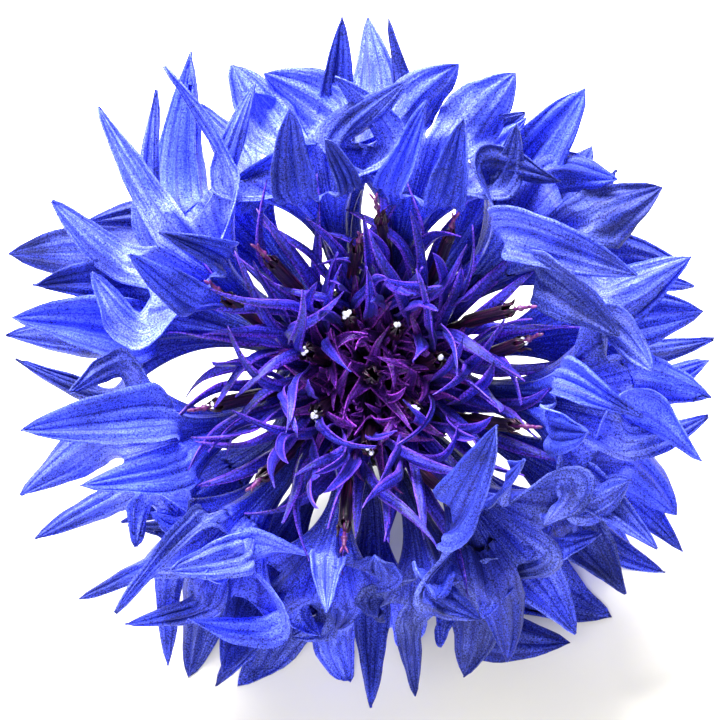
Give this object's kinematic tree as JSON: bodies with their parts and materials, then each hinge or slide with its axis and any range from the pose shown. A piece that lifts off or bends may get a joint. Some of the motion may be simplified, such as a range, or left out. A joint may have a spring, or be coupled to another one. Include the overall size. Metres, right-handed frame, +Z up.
{
  "type": "cornflower",
  "caption": "Cut cornflower head with blue trumpet-shaped ring florets, a violet disc and a scaly green involucre, resting face up on its petals and short stem.",
  "frame": {"origin": "bottom centre of the bounding box, on the surface that the flower rests on", "axes": "+Z up from that surface; the head's own axis leans 32 degrees from +Z towards -Y, so the flower faces up and towards -Y, with its cut stem end behind; +X is to the right seen from the front"},
  "size_m": [0.0474, 0.0438, 0.035],
  "materials": {
    "ring_petal_blue": "soft velvety petal, vivid ultramarine blue with darker veins and paler ridges",
    "disc_corolla_violet": "soft petal, deep violet turning blue at the lobe tips",
    "anther_purple": "ribbed, slightly waxy, near-black purple",
    "bract_green": "leathery green scale with a brown fringed margin",
    "stem_green": "ribbed green stem with pale woolly hairs and a pale cut end"
  },
  "bodies": {
    "root": {"anther_column_01": "anther_purple", "anther_column_02": "anther_purple", "anther_column_03": "anther_purple", "anther_column_04": "anther_purple", "anther_column_05": "anther_purple", "anther_column_06": "anther_purple", "anther_column_07": "anther_purple", "anther_column_08": "anther_purple", "anther_column_09": "anther_purple", "anther_column_10": "anther_purple", "anther_column_11": "anther_purple", "anther_column_12": "anther_purple", "bract_row_1": "bract_green", "bract_row_2": "bract_green", "bract_row_3": "bract_green", "bract_row_4": "bract_green", "disc_corolla_01": "disc_corolla_violet", "disc_corolla_02": "disc_corolla_violet", "disc_corolla_03": "disc_corolla_violet", "disc_corolla_04": "disc_corolla_violet", "disc_corolla_05": "disc_corolla_violet", "disc_corolla_06": "disc_corolla_violet", "disc_corolla_07": "disc_corolla_violet", "disc_corolla_08": "disc_corolla_violet", "disc_corolla_09": "disc_corolla_violet", "disc_corolla_10": "disc_corolla_violet", "disc_corolla_11": "disc_corolla_violet", "disc_corolla_12": "disc_corolla_violet", "ring_floret_east": "ring_petal_blue", "ring_floret_east_high": "ring_petal_blue", "ring_floret_east_northeast": "ring_petal_blue", "ring_floret_east_southeast": "ring_petal_blue", "ring_floret_north": "ring_petal_blue", "ring_floret_north_northeast": "ring_petal_blue", "ring_floret_north_northwest": "ring_petal_blue", "ring_floret_northeast": "ring_petal_blue", "ring_floret_northwest": "ring_petal_blue", "ring_floret_south": "ring_petal_blue", "ring_floret_south_high": "ring_petal_blue", "ring_floret_south_southeast": "ring_petal_blue", "ring_floret_south_southwest": "ring_petal_blue", "ring_floret_southeast": "ring_petal_blue", "ring_floret_southeast_high": "ring_petal_blue", "ring_floret_southwest": "ring_petal_blue", "ring_floret_southwest_low": "ring_petal_blue", "ring_floret_west": "ring_petal_blue", "ring_floret_west_northwest": "ring_petal_blue", "ring_floret_west_southwest": "ring_petal_blue", "stem_and_receptacle": "stem_green", "young_floret_1": "disc_corolla_violet", "young_floret_2": "disc_corolla_violet", "young_floret_3": "disc_corolla_violet", "young_floret_4": "disc_corolla_violet", "young_floret_5": "disc_corolla_violet", "young_floret_6": "disc_corolla_violet", "young_floret_7": "disc_corolla_violet", "young_floret_8": "disc_corolla_violet"}
  },
  "joints": []
}
